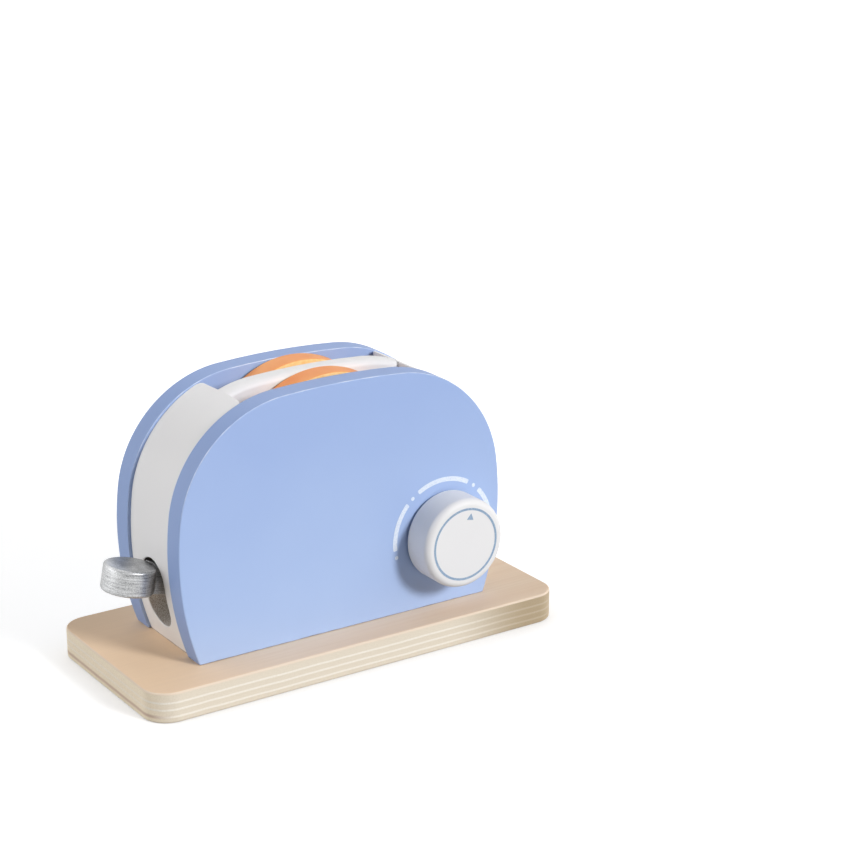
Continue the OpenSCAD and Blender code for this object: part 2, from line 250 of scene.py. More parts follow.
# Birch plywood, sanded and bare: a pale peeled veneer with faint long grain on the faces, made darker and
# warmer towards the left by a painted shade, and on the edges three white glue lines, a little fuzzy from the
# saw, between plies of cut fibre under a paler top veneer. The ends are paler, with one brown ply low down,
# and the long edges darken to the right under a painted shadow.
# The grain and the cut fibres are drawn coarser than real birch, whose pores are 0.1 mm, so that they show.
plywood, tree, wood, coords = start_material("birch_plywood", {"Roughness": 0.62, "Specular IOR Level": 0.3})
grain_l, grain_w = 55 * MM, 1.1 * MM
figure_l, figure_w = 160 * MM, 16 * MM
first_line_z = 3.05 * MM
line_pitch = 3.33 * MM
last_line_z = first_line_z + 2 * line_pitch
line_w = 0.9 * MM
line_blur = 0.6 * MM
line_wander, wander_l = 0.7 * MM, 18 * MM
veneer_t = 1.2 * MM
fuzz = 0.45 * MM
right_shadow_from, right_shadow_to = 43 * MM, 92 * MM
left_shade_from, left_shade_to = -30 * MM, -85 * MM
low_ply_z, low_ply_t = 3.0 * MM, 1.3 * MM
place = add(tree, "ShaderNodeSeparateXYZ", {0: coords.outputs["Object"]})
facing = add(tree, "ShaderNodeSeparateXYZ", {0: coords.outputs["Normal"]})
along_grain = add(tree, "ShaderNodeMapping", {
    "Vector": coords.outputs["Object"], "Scale": (1 / grain_l, 1 / grain_w, 1 / grain_w)})
grain = add(tree, "ShaderNodeTexNoise", {"Vector": along_grain.outputs[0], "Scale": 1.0, "Detail": 3.0})
along_figure = add(tree, "ShaderNodeMapping", {
    "Vector": coords.outputs["Object"], "Scale": (1 / figure_l, 1 / figure_w, 1 / figure_w)})
figure = add(tree, "ShaderNodeTexNoise", {
    "Vector": along_figure.outputs[0], "Scale": 1.0, "Detail": 2.0, "Distortion": 0.6})
grain_share = add(tree, "ShaderNodeMapRange", {
    "Value": grain.outputs[0], "From Min": 0.35, "From Max": 0.7, "To Max": 0.25})
figure_share = add(tree, "ShaderNodeMapRange", {
    "Value": figure.outputs[0], "From Min": 0.35, "From Max": 0.7})
figured = add(tree, "ShaderNodeMix", {
    0: figure_share.outputs[0], 6: linear("#F4DEC5"), 7: linear("#EFD4B8")}, data_type="RGBA")
# Painted shade: the top veneer is mixed darker and warmer towards the left end, where the body's shadow
# falls.
into_left_shade = add(tree, "ShaderNodeMapRange", {
    "Value": place.outputs["X"], "From Min": left_shade_from, "From Max": left_shade_to}, interpolation_type="SMOOTHSTEP")
left_shade_painted = add(tree, "ShaderNodeMix", {
    0: into_left_shade.outputs[0], 6: figured.outputs[2], 7: linear("#ECCEAD")}, data_type="RGBA")
veneer = add(tree, "ShaderNodeMix", {
    0: grain_share.outputs[0], 6: left_shade_painted.outputs[2], 7: linear("#E0C3A6")}, data_type="RGBA")
wander = add(tree, "ShaderNodeTexNoise", {"Vector": coords.outputs["Object"], "Scale": 1 / wander_l})
height = add(tree, "ShaderNodeMath", {
    0: wander.outputs[0], 1: line_wander, 2: place.outputs["Z"]}, operation="MULTIPLY_ADD")
over_first = add(tree, "ShaderNodeMath", {
    0: height.outputs[0], 1: first_line_z + line_wander / 2}, operation="SUBTRACT")
from_line = add(tree, "ShaderNodeMath", {0: over_first.outputs[0], 1: line_pitch / 2}, operation="PINGPONG")
on_line = add(tree, "ShaderNodeMapRange", {
    "Value": from_line.outputs[0], "From Min": (line_w - line_blur) / 2, "From Max": (line_w + line_blur) / 2,
    "To Min": 1.0, "To Max": 0.0}, interpolation_type="SMOOTHSTEP")
under_last = add(tree, "ShaderNodeMath", {
    0: place.outputs["Z"], 1: last_line_z + line_pitch / 2}, operation="LESS_THAN")
to_front = add(tree, "ShaderNodeMath", {0: facing.outputs["Y"]}, operation="ABSOLUTE")
line_share = add(tree, "ShaderNodeMapRange", {"Value": to_front.outputs[0], "To Min": 0.45})
shown = add(tree, "ShaderNodeMath", {
    0: under_last.outputs[0], 1: line_share.outputs[0]}, operation="MULTIPLY")
line = add(tree, "ShaderNodeMath", {0: on_line.outputs[0], 1: shown.outputs[0]}, operation="MULTIPLY")
to_end = add(tree, "ShaderNodeMapRange", {
    "Value": to_front.outputs[0], "From Min": 0.5, "To Min": 1.0, "To Max": 0.0})
bands = add(tree, "ShaderNodeMix", {
    0: to_end.outputs[0], 6: linear("#E5DAC8"), 7: linear("#F4E5CC")}, data_type="RGBA")
plies = add(tree, "ShaderNodeMix", {
    0: line.outputs[0], 6: bands.outputs[2], 7: linear("#F6EFE4")}, data_type="RGBA")
over_low = add(tree, "ShaderNodeMath", {
    0: height.outputs[0], 1: low_ply_z + line_wander / 2}, operation="SUBTRACT")
off_low = add(tree, "ShaderNodeMath", {0: over_low.outputs[0]}, operation="ABSOLUTE")
low_ply = add(tree, "ShaderNodeMapRange", {
    "Value": off_low.outputs[0], "From Max": low_ply_t, "To Min": 1.0, "To Max": 0.0},
    interpolation_type="SMOOTHSTEP")
low_share = add(tree, "ShaderNodeMath", {0: low_ply.outputs[0], 1: to_end.outputs[0]}, operation="MULTIPLY")
low_plies = add(tree, "ShaderNodeMix", {
    0: low_share.outputs[0], 6: plies.outputs[2], 7: linear("#CBB09B")}, data_type="RGBA")
cut_fibres = add(tree, "ShaderNodeTexNoise", {
    "Vector": coords.outputs["Object"], "Scale": 1 / fuzz, "Detail": 2.0})
fibre_share = add(tree, "ShaderNodeMapRange", {
    "Value": cut_fibres.outputs[0], "From Min": 0.4, "From Max": 0.75, "To Max": 0.35})
edge_wood = add(tree, "ShaderNodeMix", {
    0: fibre_share.outputs[0], 6: low_plies.outputs[2], 7: linear("#C6B79D")}, data_type="RGBA")
# Painted shadow: the long edges are darkened towards the right end, as by a shadow falling on them there.
into_right_shadow = add(tree, "ShaderNodeMapRange", {
    "Value": place.outputs["X"], "From Min": right_shadow_from, "From Max": right_shadow_to}, interpolation_type="SMOOTHSTEP")
painted_shadow_share = add(tree, "ShaderNodeMath", {
    0: into_right_shadow.outputs[0], 1: to_front.outputs[0]}, operation="MULTIPLY")
edge_with_painted_shadow = add(tree, "ShaderNodeMix", {
    0: painted_shadow_share.outputs[0], 6: edge_wood.outputs[2], 7: linear("#C9BEAC")},
    data_type="RGBA", blend_type="MULTIPLY")
in_veneer = add(tree, "ShaderNodeMapRange", {
    "Value": place.outputs["Z"], "From Min": base_high.z - veneer_t, "From Max": base_high.z - veneer_t / 2},
    interpolation_type="SMOOTHSTEP")
cut_edge = add(tree, "ShaderNodeMix", {
    0: in_veneer.outputs[0], 6: edge_with_painted_shadow.outputs[2], 7: linear("#E9D6C1")}, data_type="RGBA")
to_top = add(tree, "ShaderNodeMath", {0: facing.outputs["Z"]}, operation="ABSOLUTE")
on_face = add(tree, "ShaderNodeMapRange", {
    "Value": to_top.outputs[0], "From Min": 0.8, "From Max": 0.97}, interpolation_type="SMOOTHSTEP")
bare_wood = add(tree, "ShaderNodeMix", {
    0: on_face.outputs[0], 6: cut_edge.outputs[2], 7: veneer.outputs[2]}, data_type="RGBA")
pores = add(tree, "ShaderNodeBump", {"Height": grain.outputs[0], "Strength": 0.25, "Distance": 0.08 * MM})
tree.links.new(bare_wood.outputs[2], wood.inputs["Base Color"])
tree.links.new(pores.outputs[0], wood.inputs["Normal"])

coat(base, plywood)
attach(base, "body")
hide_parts("base_board")


# Panels. Two arched boards, front and back, spray-painted pale blue with their edges sanded soft first.
# Dowels through the core and screws from below hold them, and the dial's peg goes through the front one.
front_low, front_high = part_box("front_panel")
rear_low, rear_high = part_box("rear_panel")
panel_w = 172.2 * MM
panel_ease = 0.5 * MM
sharp = math.radians(40)
foot_z = base_high.z
arch_h = 120 * MM
belly_z = 49 * MM
side_r = 145 * MM
shoulder_r = 58.5 * MM
crown_r = 415 * MM
joints = {joint["name"]: joint for joint in frame["joints"]}
lever_pivot = Vector(joints["lever_pivot"]["pos_m"])
dial_axis = Vector(joints["dial_turn"]["pos_m"])
dowel_low, dowel_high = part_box("core_dowels")
pivot_r = 4 * MM
dowel_r = 3 * MM
dowel_places = [(x, foot_z + z) for x, z in ((60 * MM, 92 * MM), (70 * MM, 56 * MM))]
peg_r = 4.08 * MM
peg_head_r = 8.25 * MM
peg_head_t = 3.5 * MM


def draw_arc(centre, angle, axis=(0, 1, 0), step=math.radians(1.5)):
    """Draws an arc with the pen. About Y the angle counts anticlockwise, seen from the front."""
    steps = max(2, round(abs(angle) / step))
    bpy.ops.mesh.spin(steps=steps, angle=angle, center=centre, axis=axis)


def arch_centres(width):
    """Centres, x and z over the foot, of the right side's arc, the shoulder's and the crown's."""
    side = Vector((width / 2 - side_r, belly_z))
    crown = Vector((0, arch_h - crown_r))
    gap = (crown - side).length
    along = (crown - side) / gap
    to_side, to_crown = side_r - shoulder_r, crown_r - shoulder_r
    reach = (to_side ** 2 - to_crown ** 2 + gap ** 2) / (2 * gap)
    off = math.sqrt(to_side ** 2 - reach ** 2)
    return side, side + reach * along + off * Vector((-along.y, along.x)), crown


def heading(start, end):
    """The angle of the way from one point to another, from X."""
    return math.atan2(end.y - start.y, end.x - start.x)


def draw_arch(name, width, y):
    """Draws the arched outline at a depth y, from its right foot over the top to its left foot."""
    side, shoulder, crown = arch_centres(width)
    foot = math.asin(-side.y / side_r)
    upright, level = heading(side, shoulder), heading(crown, shoulder)
    piece = put_pen(name, (side.x + side_r * math.cos(foot), y, foot_z))
    half = [(side, upright - foot), (shoulder, level - upright)]
    for centre, angle in half + [(crown, math.pi - 2 * level)]:
        draw_arc((centre.x, y, foot_z + centre.y), angle)
    for centre, angle in reversed(half):
        draw_arc((-centre.x, y, foot_z + centre.y), angle)
    return piece


def thicken(step):
    """Fills a drawn outline and extrudes it into a solid."""
    bpy.ops.mesh.select_all(action="SELECT")
    bpy.ops.mesh.edge_face_add()
    bpy.ops.mesh.extrude_region_move(TRANSFORM_OT_translate={"value": step})
    tidy_skin()


def add_rod(name, radius, start, end):
    """Adds a round rod between two points as a solid with its place in its mesh."""
    fresh()
    start, end = Vector(start), Vector(end)
    bpy.ops.mesh.primitive_cylinder_add(vertices=48, radius=radius, depth=(end - start).length)
    rod = bpy.context.object
    rod.name = name
    rod.rotation_euler = (end - start).to_track_quat("Z", "Y").to_euler()
    rod.location = (start + end) / 2
    bpy.ops.object.transform_apply(location=True, rotation=True, scale=True)
    return rod


def across(name, radius, x, z, low, high):
    """Adds a rod along Y between two depths."""
    return add_rod(name, radius, (x, low, z), (x, high, z))


def arched_board(name, width, low, high, ease):
    """Makes a standing arched board between two depths, with all its edges rounded."""
    piece = draw_arch(name, width, low)
    thicken((0, high - low, 0))
    pick("EDGE", lambda edge: lies_level(edge, 1) or edge.calc_face_angle() > sharp)
    bpy.ops.mesh.bevel(offset=ease, segments=4, affect="EDGES")
    bpy.ops.object.mode_set(mode="OBJECT")
    return piece


front_panel = arched_board("blue_front_panel", panel_w, front_low.y, front_high.y, panel_ease)
rear_panel = arched_board("blue_rear_panel", panel_w, rear_low.y, rear_high.y, panel_ease)
pin_ends = (dowel_low.y - end_gap, dowel_high.y + end_gap)
pin_holes = [across("pin_holes", pivot_r + glue_fit, lever_pivot.x, lever_pivot.z, *pin_ends)]
for x, z in dowel_places:
    pin_holes += [across("pin_holes", dowel_r + glue_fit, turn * x, z, *pin_ends) for turn in (-1, 1)]
pin_holes = join_all(pin_holes)
peg_hole = across("peg_hole", peg_r, dial_axis.x, dial_axis.z, front_low.y - MM, front_high.y + MM)
peg_recess = across("peg_recess", peg_head_r, dial_axis.x, dial_axis.z,
                    front_high.y - peg_head_t, front_high.y + MM)
for cutter in (pin_holes, screw_holes, peg_hole, peg_recess):
    cut(front_panel, cutter)
for cutter in (pin_holes, screw_holes):
    cut(rear_panel, cutter)
for cutter in (screw_holes, peg_hole, peg_recess):
    bpy.data.objects.remove(cutter)

# Satin acrylic paint, sprayed on sealed board: a pale blue with a faint stipple, a little uneven in depth,
# and paler towards the foot, a painted glow of light bounced from the floor. The rims carry a darker, greyer
# blue, a painted shade; the upper edges are rubbed through to the primer and lightened more by a painted
# highlight;
# and a ragged dark line along the base is a painted contact shadow.
blue, tree, paint, coords = start_material("satin_blue_paint", {"Specular IOR Level": 0.35})
cloud = 60 * MM
cloud_share = 0.8
stipple = 0.9 * MM
rub_l = 6 * MM
foot_shadow_w = 0.8 * MM
facing = add(tree, "ShaderNodeSeparateXYZ", {0: coords.outputs["Normal"]})
depth = add(tree, "ShaderNodeTexNoise", {
    "Vector": coords.outputs["Object"], "Scale": 1 / cloud, "Detail": 2.0})
place = add(tree, "ShaderNodeSeparateXYZ", {0: coords.outputs["Object"]})
# Painted bounce light: the blue is mixed paler towards the foot, as if lit from the floor.
foot_glow_fade = add(tree, "ShaderNodeMapRange", {
    "Value": place.outputs["Z"], "From Min": foot_z, "From Max": foot_z + arch_h})
depth_and_foot_glow = add(tree, "ShaderNodeMath", {
    0: depth.outputs[0], 1: cloud_share, 2: foot_glow_fade.outputs[0]}, operation="MULTIPLY_ADD")
depth_and_glow_share = add(tree, "ShaderNodeMapRange", {"Value": depth_and_foot_glow.outputs[0], "From Min": 0.4, "From Max": 1.3})
even = add(tree, "ShaderNodeMix", {
    0: depth_and_glow_share.outputs[0], 6: linear("#ACC2E9"), 7: linear("#9FB6E3")}, data_type="RGBA")
to_face = add(tree, "ShaderNodeMath", {0: facing.outputs["Y"]}, operation="ABSOLUTE")
off_rim = add(tree, "ShaderNodeMapRange", {
    "Value": to_face.outputs[0], "From Min": 0.1, "From Max": 0.5}, interpolation_type="SMOOTHSTEP")
# Painted shade: the rims, facing away from the front light, get a darker, greyer blue than the faces.
rim_painted_shade = add(tree, "ShaderNodeMix", {
    0: off_rim.outputs[0], 6: linear("#8DA4D2"), 7: even.outputs[2]}, data_type="RGBA")
off_face = add(tree, "ShaderNodeMapRange", {
    "Value": to_face.outputs[0], "From Min": 0.8, "From Max": 0.99, "To Min": 1.0, "To Max": 0.0},
    interpolation_type="SMOOTHSTEP")
on_edge = add(tree, "ShaderNodeMath", {0: off_rim.outputs[0], 1: off_face.outputs[0]}, operation="MULTIPLY")
# Real wear and a painted highlight: the up-facing edges go nearly white, rubbed through and catching light.
rub = add(tree, "ShaderNodeTexNoise", {
    "Vector": coords.outputs["Object"], "Scale": 1 / rub_l, "Detail": 3.0})
rubbed = add(tree, "ShaderNodeMapRange", {
    "Value": rub.outputs[0], "From Min": 0.4, "From Max": 0.65, "To Min": 0.2, "To Max": 0.9})
upward_wear_and_sheen = add(tree, "ShaderNodeMapRange", {
    "Value": facing.outputs["Z"], "From Min": 0.05, "From Max": 0.5, "To Min": 0.06})
wear_and_highlight = add(tree, "ShaderNodeMath", {0: rubbed.outputs[0], 1: upward_wear_and_sheen.outputs[0]}, operation="MULTIPLY")
edge_wear_and_highlight = add(tree, "ShaderNodeMath", {0: on_edge.outputs[0], 1: wear_and_highlight.outputs[0]}, operation="MULTIPLY")
worn_and_highlit = add(tree, "ShaderNodeMix", {
    0: edge_wear_and_highlight.outputs[0], 6: rim_painted_shade.outputs[2], 7: linear("#E4EAF8")}, data_type="RGBA")


def add_foot_shadow(tree, coords, tone):
    """Darkens a paint's tone in a ragged line along the base, a painted contact shadow."""
    ragged_by = add(tree, "ShaderNodeTexNoise", {
        "Vector": coords.outputs["Object"], "Scale": 1 / rub_l, "Detail": 3.0})
    place = add(tree, "ShaderNodeSeparateXYZ", {0: coords.outputs["Object"]})
    ragged = add(tree, "ShaderNodeMath", {
        0: ragged_by.outputs[0], 1: -foot_shadow_w, 2: place.outputs["Z"]}, operation="MULTIPLY_ADD")
    in_foot_shadow = add(tree, "ShaderNodeMapRange", {
        "Value": ragged.outputs[0], "From Min": foot_z - foot_shadow_w / 4, "From Max": foot_z + foot_shadow_w / 4,
        "To Min": 0.75, "To Max": 0.0})
    foot_shadowed = add(tree, "ShaderNodeMix", {
        0: in_foot_shadow.outputs[0], 6: tone.outputs[2], 7: linear("#6E625C")}, data_type="RGBA")
    return foot_shadowed.outputs[2]


spray = add(tree, "ShaderNodeTexNoise", {
    "Vector": coords.outputs["Object"], "Scale": 1 / stipple, "Detail": 2.0})
gloss = add(tree, "ShaderNodeMapRange", {"Value": spray.outputs[0], "To Min": 0.42, "To Max": 0.56})
peel = add(tree, "ShaderNodeBump", {"Height": spray.outputs[0], "Strength": 0.12, "Distance": 0.05 * MM})
tree.links.new(add_foot_shadow(tree, coords, worn_and_highlit), paint.inputs["Base Color"])
tree.links.new(gloss.outputs[0], paint.inputs["Roughness"])
tree.links.new(peel.outputs[0], paint.inputs["Normal"])

for panel, node in ((front_panel, "front_panel"), (rear_panel, "rear_panel")):
    shade(panel)
    coat(panel, blue)
    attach(panel, "body")
    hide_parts(node)


# Core. A divider and four end blocks, glued up between the panels and painted white as one, so no seam
# shows. They leave the two toast slots, and a round-ended slot in the left end, raw inside, for the lever.
core_w = 169.4 * MM
core_low, core_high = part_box("front_left_block")[0].y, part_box("rear_left_block")[1].y
divider_low, divider_high = (corner.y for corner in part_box("centre_divider"))
slot_l = 92 * MM
lever_slot_w = 21 * MM
lever_slot_h = 34 * MM
lever_slot_z = foot_z + 9 * MM
window_right = 21 * MM
window_top = foot_z + 65.4 * MM
rail_top = foot_z + 7 * MM
core_ease = 0.6 * MM
divider_round = 3.0 * MM
block_round = 3.5 * MM
slot_lip = 0.6 * MM
seam_z = lever_slot_z + lever_slot_h + 5 * MM
core_top = foot_z + arch_h


def by_lever_slot(point):
    """Whether a point of the core is at the lever's slot, inside it or on its rim."""
    level = lever_slot_z - TINY < point.z < lever_slot_z + lever_slot_h + TINY
    return level and abs(point.y) < lever_slot_w / 2 + TINY and point.x < -slot_l / 2 - MM


def is_slot_wall(face):
    """Whether a face of the core is a wall of the lever's slot."""
    return by_lever_slot(face.calc_center_median()) and abs(face.normal.x) < 0.3


def is_slot_rim(edge):
    """Whether an edge of the core is where a wall of the lever's slot comes out of the left end."""
    walls = [is_slot_wall(face) for face in edge.link_faces]
    outer = [face.normal.x < -0.8 for face in edge.link_faces]
    return any(walls) and any(outer) and all(by_lever_slot(vert.co) for vert in edge.verts)


def is_block_rim(edge):
    """Whether an edge of the end blocks is eased: a sharp outer one, not on the base or at the divider."""
    off_base = max(vert.co.z for vert in edge.verts) > foot_z + TINY
    off_divider = abs(sum(vert.co.y for vert in edge.verts)) / 2 > divider_high - TINY
    return off_base and off_divider and edge.calc_face_angle_signed(0) > sharp


def draw_room(name):
    """Draws, in plan under the foot, the room of both slots, with the blocks' round corners at the panels."""
    wall, far, z = slot_l / 2, slot_l / 2 + block_round, foot_z - MM
    piece = put_pen(name, (wall, core_low + block_round, z))
    for side in (1, -1):
        end = side * core_high
        draw_to((side * wall, end - side * block_round, z))
        draw_arc((side * far, end - side * block_round, z), math.pi / 2, (0, 0, 1), math.radians(10))
        for x, y in ((side * far, end + side * MM), (-side * far, end + side * MM), (-side * far, end)):
            draw_to((x, y, z))
        draw_arc((-side * far, end - side * block_round, z), math.pi / 2, (0, 0, 1), math.radians(10))
    return piece


core = draw_arch("white_core", core_w, core_low)
thicken((0, core_high - core_low, 0))
room = draw_room("slot_room")
thicken((0, 0, arch_h + 2 * MM))
cut(core, room)
take(core)
bpy.ops.object.mode_set(mode="EDIT")
# The bevel of the blocks' rims has to end at the divider, so two lines are cut there, over the lever's slot.
for y in (divider_low, divider_high):
    pick("FACE", lambda face: face.calc_center_median().z > seam_z)
    bpy.ops.mesh.bisect(plane_co=(0, y, 0), plane_no=(0, 1, 0))
pick("EDGE", is_block_rim)
bpy.ops.mesh.bevel(offset=core_ease, segments=3, affect="EDGES")
lever_slot = add_box("lever_slot", (-core_w, -lever_slot_w / 2, lever_slot_z),
                     (MM - slot_l / 2, lever_slot_w / 2, lever_slot_z + lever_slot_h))
pick("EDGE", lambda edge: runs_along(edge, 0))
bpy.ops.mesh.bevel(offset=lever_slot_w / 2 - 10 * TINY, segments=16, affect="EDGES")
cut(core, lever_slot)
take(core)
bpy.ops.object.mode_set(mode="EDIT")
pick("EDGE", is_slot_rim)
bpy.ops.mesh.bevel(offset=slot_lip, segments=4, affect="EDGES")
cut(core, pin_holes)

divider = arched_board("divider", core_w, divider_low, divider_high, divider_round)
between = add_box("between", (-slot_l / 2, core_low, 0), (slot_l / 2, core_high, core_top + MM))
window = add_box("window", (-slot_l, core_low, rail_top), (window_right, core_high, window_top))
cut(divider, between, "INTERSECT")
cut(divider, window)
for tool in (room, lever_slot, pin_holes, between, window):
    bpy.data.objects.remove(tool)
core = join_all([core, divider])
shade(core)

# Satin white paint, sprayed and rubbed down: soft and nearly neutral, with the same faint stipple as the blue
# and the same ragged dark line at the foot, a painted contact shadow.
white, tree, paint, coords = start_material("satin_white_paint", {"Specular IOR Level": 0.35})
shade_of = add(tree, "ShaderNodeTexNoise", {
    "Vector": coords.outputs["Object"], "Scale": 1 / cloud, "Detail": 2.0})
tint_share = add(tree, "ShaderNodeMapRange", {
    "Value": shade_of.outputs[0], "From Min": 0.35, "From Max": 0.65})
tint = add(tree, "ShaderNodeMix", {
    0: tint_share.outputs[0], 6: linear("#EBEAEA"), 7: linear("#E7E6E7")}, data_type="RGBA")
spray = add(tree, "ShaderNodeTexNoise", {
    "Vector": coords.outputs["Object"], "Scale": 1 / stipple, "Detail": 2.0})
gloss = add(tree, "ShaderNodeMapRange", {"Value": spray.outputs[0], "To Min": 0.38, "To Max": 0.52})
peel = add(tree, "ShaderNodeBump", {"Height": spray.outputs[0], "Strength": 0.1, "Distance": 0.05 * MM})
tree.links.new(add_foot_shadow(tree, coords, tint), paint.inputs["Base Color"])
tree.links.new(gloss.outputs[0], paint.inputs["Roughness"])
tree.links.new(peel.outputs[0], paint.inputs["Normal"])

# Raw board inside the lever's slot: routed fibre, grey-brown specks in a pale mist of overspray, and a
# painted shade that darkens it towards the top, deep in the slot. The fibre is drawn coarser than the real
# 0.1 mm, so that it shows.
raw, tree, board, coords = start_material("routed_board", {"Roughness": 0.85, "Specular IOR Level": 0.2})
fibre = 0.4 * MM
fibres = add(tree, "ShaderNodeTexNoise", {
    "Vector": coords.outputs["Object"], "Scale": 1 / fibre, "Detail": 3.0})
fibre_share = add(tree, "ShaderNodeMapRange", {"Value": fibres.outputs[0], "From Min": 0.42, "From Max": 0.6})
fibre_tone = add(tree, "ShaderNodeMix", {
    0: fibre_share.outputs[0], 6: linear("#C6BCB1"), 7: linear("#F8F4EF")}, data_type="RGBA")
rough = add(tree, "ShaderNodeBump", {"Height": fibres.outputs[0], "Strength": 0.6, "Distance": 0.15 * MM})
height = add(tree, "ShaderNodeSeparateXYZ", {0: coords.outputs["Object"]})
# Painted shade: the fibre tone is mixed to near black towards the slot's top.
toward_shaded_top = add(tree, "ShaderNodeMapRange", {
    "Value": height.outputs["Z"], "From Min": lever_slot_z + 0.5 * lever_slot_h,
    "From Max": lever_slot_z + 0.8 * lever_slot_h})
fibre_with_painted_shade = add(tree, "ShaderNodeMix", {
    0: toward_shaded_top.outputs[0], 6: fibre_tone.outputs[2], 7: linear("#4B4643")}, data_type="RGBA")
tree.links.new(fibre_with_painted_shade.outputs[2], board.inputs["Base Color"])
tree.links.new(rough.outputs[0], board.inputs["Normal"])

coat(core, white)
core.data.materials.append(raw)
take(core)
bpy.ops.object.mode_set(mode="EDIT")
pick("FACE", is_slot_wall)
core.active_material_index = 1
bpy.ops.object.material_slot_assign()
bpy.ops.object.mode_set(mode="OBJECT")
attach(core, "body")
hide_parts("centre_divider", "front_left_block", "rear_left_block",
            "front_right_block", "rear_right_block")


# Dowels and screws. Beech rods pin the core and carry the lever, and zinc-plated wood screws come up
# through the base and through the lever's arm. They are the CAD solids, and are hidden but for the heads.

# Beech: pale pinkish brown, with short dark flecks along the grain.
beech, tree, wood, coords = start_material("beech", {"Roughness": 0.55, "Specular IOR Level": 0.3})
fleck_l, fleck_w = 3.5 * MM, 0.35 * MM
along_rod = add(tree, "ShaderNodeMapping", {
    "Vector": coords.outputs["Object"], "Scale": (1 / fleck_w, 1 / fleck_l, 1 / fleck_w)})
flecks = add(tree, "ShaderNodeTexNoise", {"Vector": along_rod.outputs[0], "Scale": 1.0, "Detail": 2.0})
fleck_share = add(tree, "ShaderNodeMapRange", {"Value": flecks.outputs[0], "From Min": 0.5, "From Max": 0.72})
flecked = add(tree, "ShaderNodeMix", {
    0: fleck_share.outputs[0], 6: linear("#DDBB93"), 7: linear("#B98D62")}, data_type="RGBA")
tree.links.new(flecked.outputs[2], wood.inputs["Base Color"])

# Zinc-plated steel: grey with a faint bluish cast, its plating finely mottled.
zinc, tree, metal, coords = start_material("zinc_plated_steel", {"Metallic": 1.0})
spangle = 0.8 * MM
mottle = add(tree, "ShaderNodeTexNoise", {
    "Vector": coords.outputs["Object"], "Scale": 1 / spangle, "Detail": 2.0})
plating = add(tree, "ShaderNodeMix", {
    0: mottle.outputs[0], 6: linear("#B9BCC0"), 7: linear("#9FA3A8")}, data_type="RGBA")
sheen = add(tree, "ShaderNodeMapRange", {"Value": mottle.outputs[0], "To Min": 0.25, "To Max": 0.45})
tree.links.new(plating.outputs[2], metal.inputs["Base Color"])
tree.links.new(sheen.outputs[0], metal.inputs["Roughness"])

for name in ("core_dowels", "pivot_dowel", "pivot_spacers", "knob_dowel", "toast_rest", "dial_peg"):
    coat(frame["nodes"][name], beech)
for name in ("base_screws", "rest_screw"):
    coat(frame["nodes"][name], zinc)


# Lever. A wooden see-saw arm with a turned knob dowelled to its outer end, both brush-painted silver. The
# knob leans with the arm, which slopes up to the outside at rest.
lever_tilt = math.radians(11.5)
knob_r = 12.2 * MM
knob_h = 12.4 * MM
knob_edge_r = 1.3 * MM
knob_reach = 42.8 * MM
bore_r = 2.55 * MM
bore_from, bore_to = knob_reach - 25 * MM, knob_reach - 0.1 * MM


def along_arm(reach):
    """The point on the arm's middle line at a distance from its pivot, towards the knob."""
    return lever_pivot + reach * Vector((-math.cos(lever_tilt), 0, math.sin(lever_tilt)))


knob = put_pen("silver_knob", (0, 0, -knob_h / 2))
draw_to((knob_r - knob_edge_r, 0, -knob_h / 2))
draw_arc((knob_r - knob_edge_r, 0, knob_edge_r - knob_h / 2), math.pi / 2, step=math.radians(15))
draw_to((knob_r, 0, knob_h / 2 - knob_edge_r))
draw_arc((knob_r - knob_edge_r, 0, knob_h / 2 - knob_edge_r), math.pi / 2, step=math.radians(15))
draw_to((0, 0, knob_h / 2))
lathe()
take(knob)
knob.rotation_euler = (0, lever_tilt, 0)
knob.location = along_arm(knob_reach)
bpy.ops.object.transform_apply(location=True, rotation=True, scale=True)
dowel_hole = add_rod("dowel_hole", bore_r, along_arm(bore_from), along_arm(bore_to))
cut(knob, dowel_hole)
bpy.data.objects.remove(dowel_hole)
shade(knob)

# Silver lacquer brushed over turned wood: aluminium flake that sparkles grain by grain, in streaks that
# follow the lathe round the knob. Flake and streaks are drawn coarser than the real 0.03 mm and 0.1 mm, so
# that they show.
silver, tree, lacquer, coords = start_material("silver_lacquer", {"Metallic": 0.9})
flake = 0.4 * MM
flake_share = 1.1
streak_l, streak_w = 9 * MM, 0.4 * MM
own = add(tree, "ShaderNodeMapping", {"Vector": coords.outputs["Object"], "Location": -lever_pivot})
turned_back = add(tree, "ShaderNodeMapping", {"Vector": own.outputs[0], "Rotation": (0, -lever_tilt, 0)})
round_knob = add(tree, "ShaderNodeMapping", {
    "Vector": turned_back.outputs[0], "Scale": (1 / streak_l, 1 / streak_l, 1 / streak_w)})
streaks = add(tree, "ShaderNodeTexNoise", {"Vector": round_knob.outputs[0], "Scale": 1.0, "Detail": 3.0})
flakes = add(tree, "ShaderNodeTexNoise", {
    "Vector": coords.outputs["Object"], "Scale": 1 / flake, "Detail": 2.0})
sparkle = add(tree, "ShaderNodeMath", {
    0: flakes.outputs[0], 1: flake_share, 2: streaks.outputs[0]}, operation="MULTIPLY_ADD")
bright = add(tree, "ShaderNodeMapRange", {"Value": sparkle.outputs[0], "From Min": 0.8, "From Max": 1.25})
leaf = add(tree, "ShaderNodeMix", {
    0: bright.outputs[0], 6: linear("#848586"), 7: linear("#CACBCC")}, data_type="RGBA")
sheen = add(tree, "ShaderNodeMapRange", {"Value": flakes.outputs[0], "To Min": 0.34, "To Max": 0.52})
brushed = add(tree, "ShaderNodeBump", {"Height": sparkle.outputs[0], "Strength": 0.25, "Distance": 0.12 * MM})
tree.links.new(leaf.outputs[2], lacquer.inputs["Base Color"])
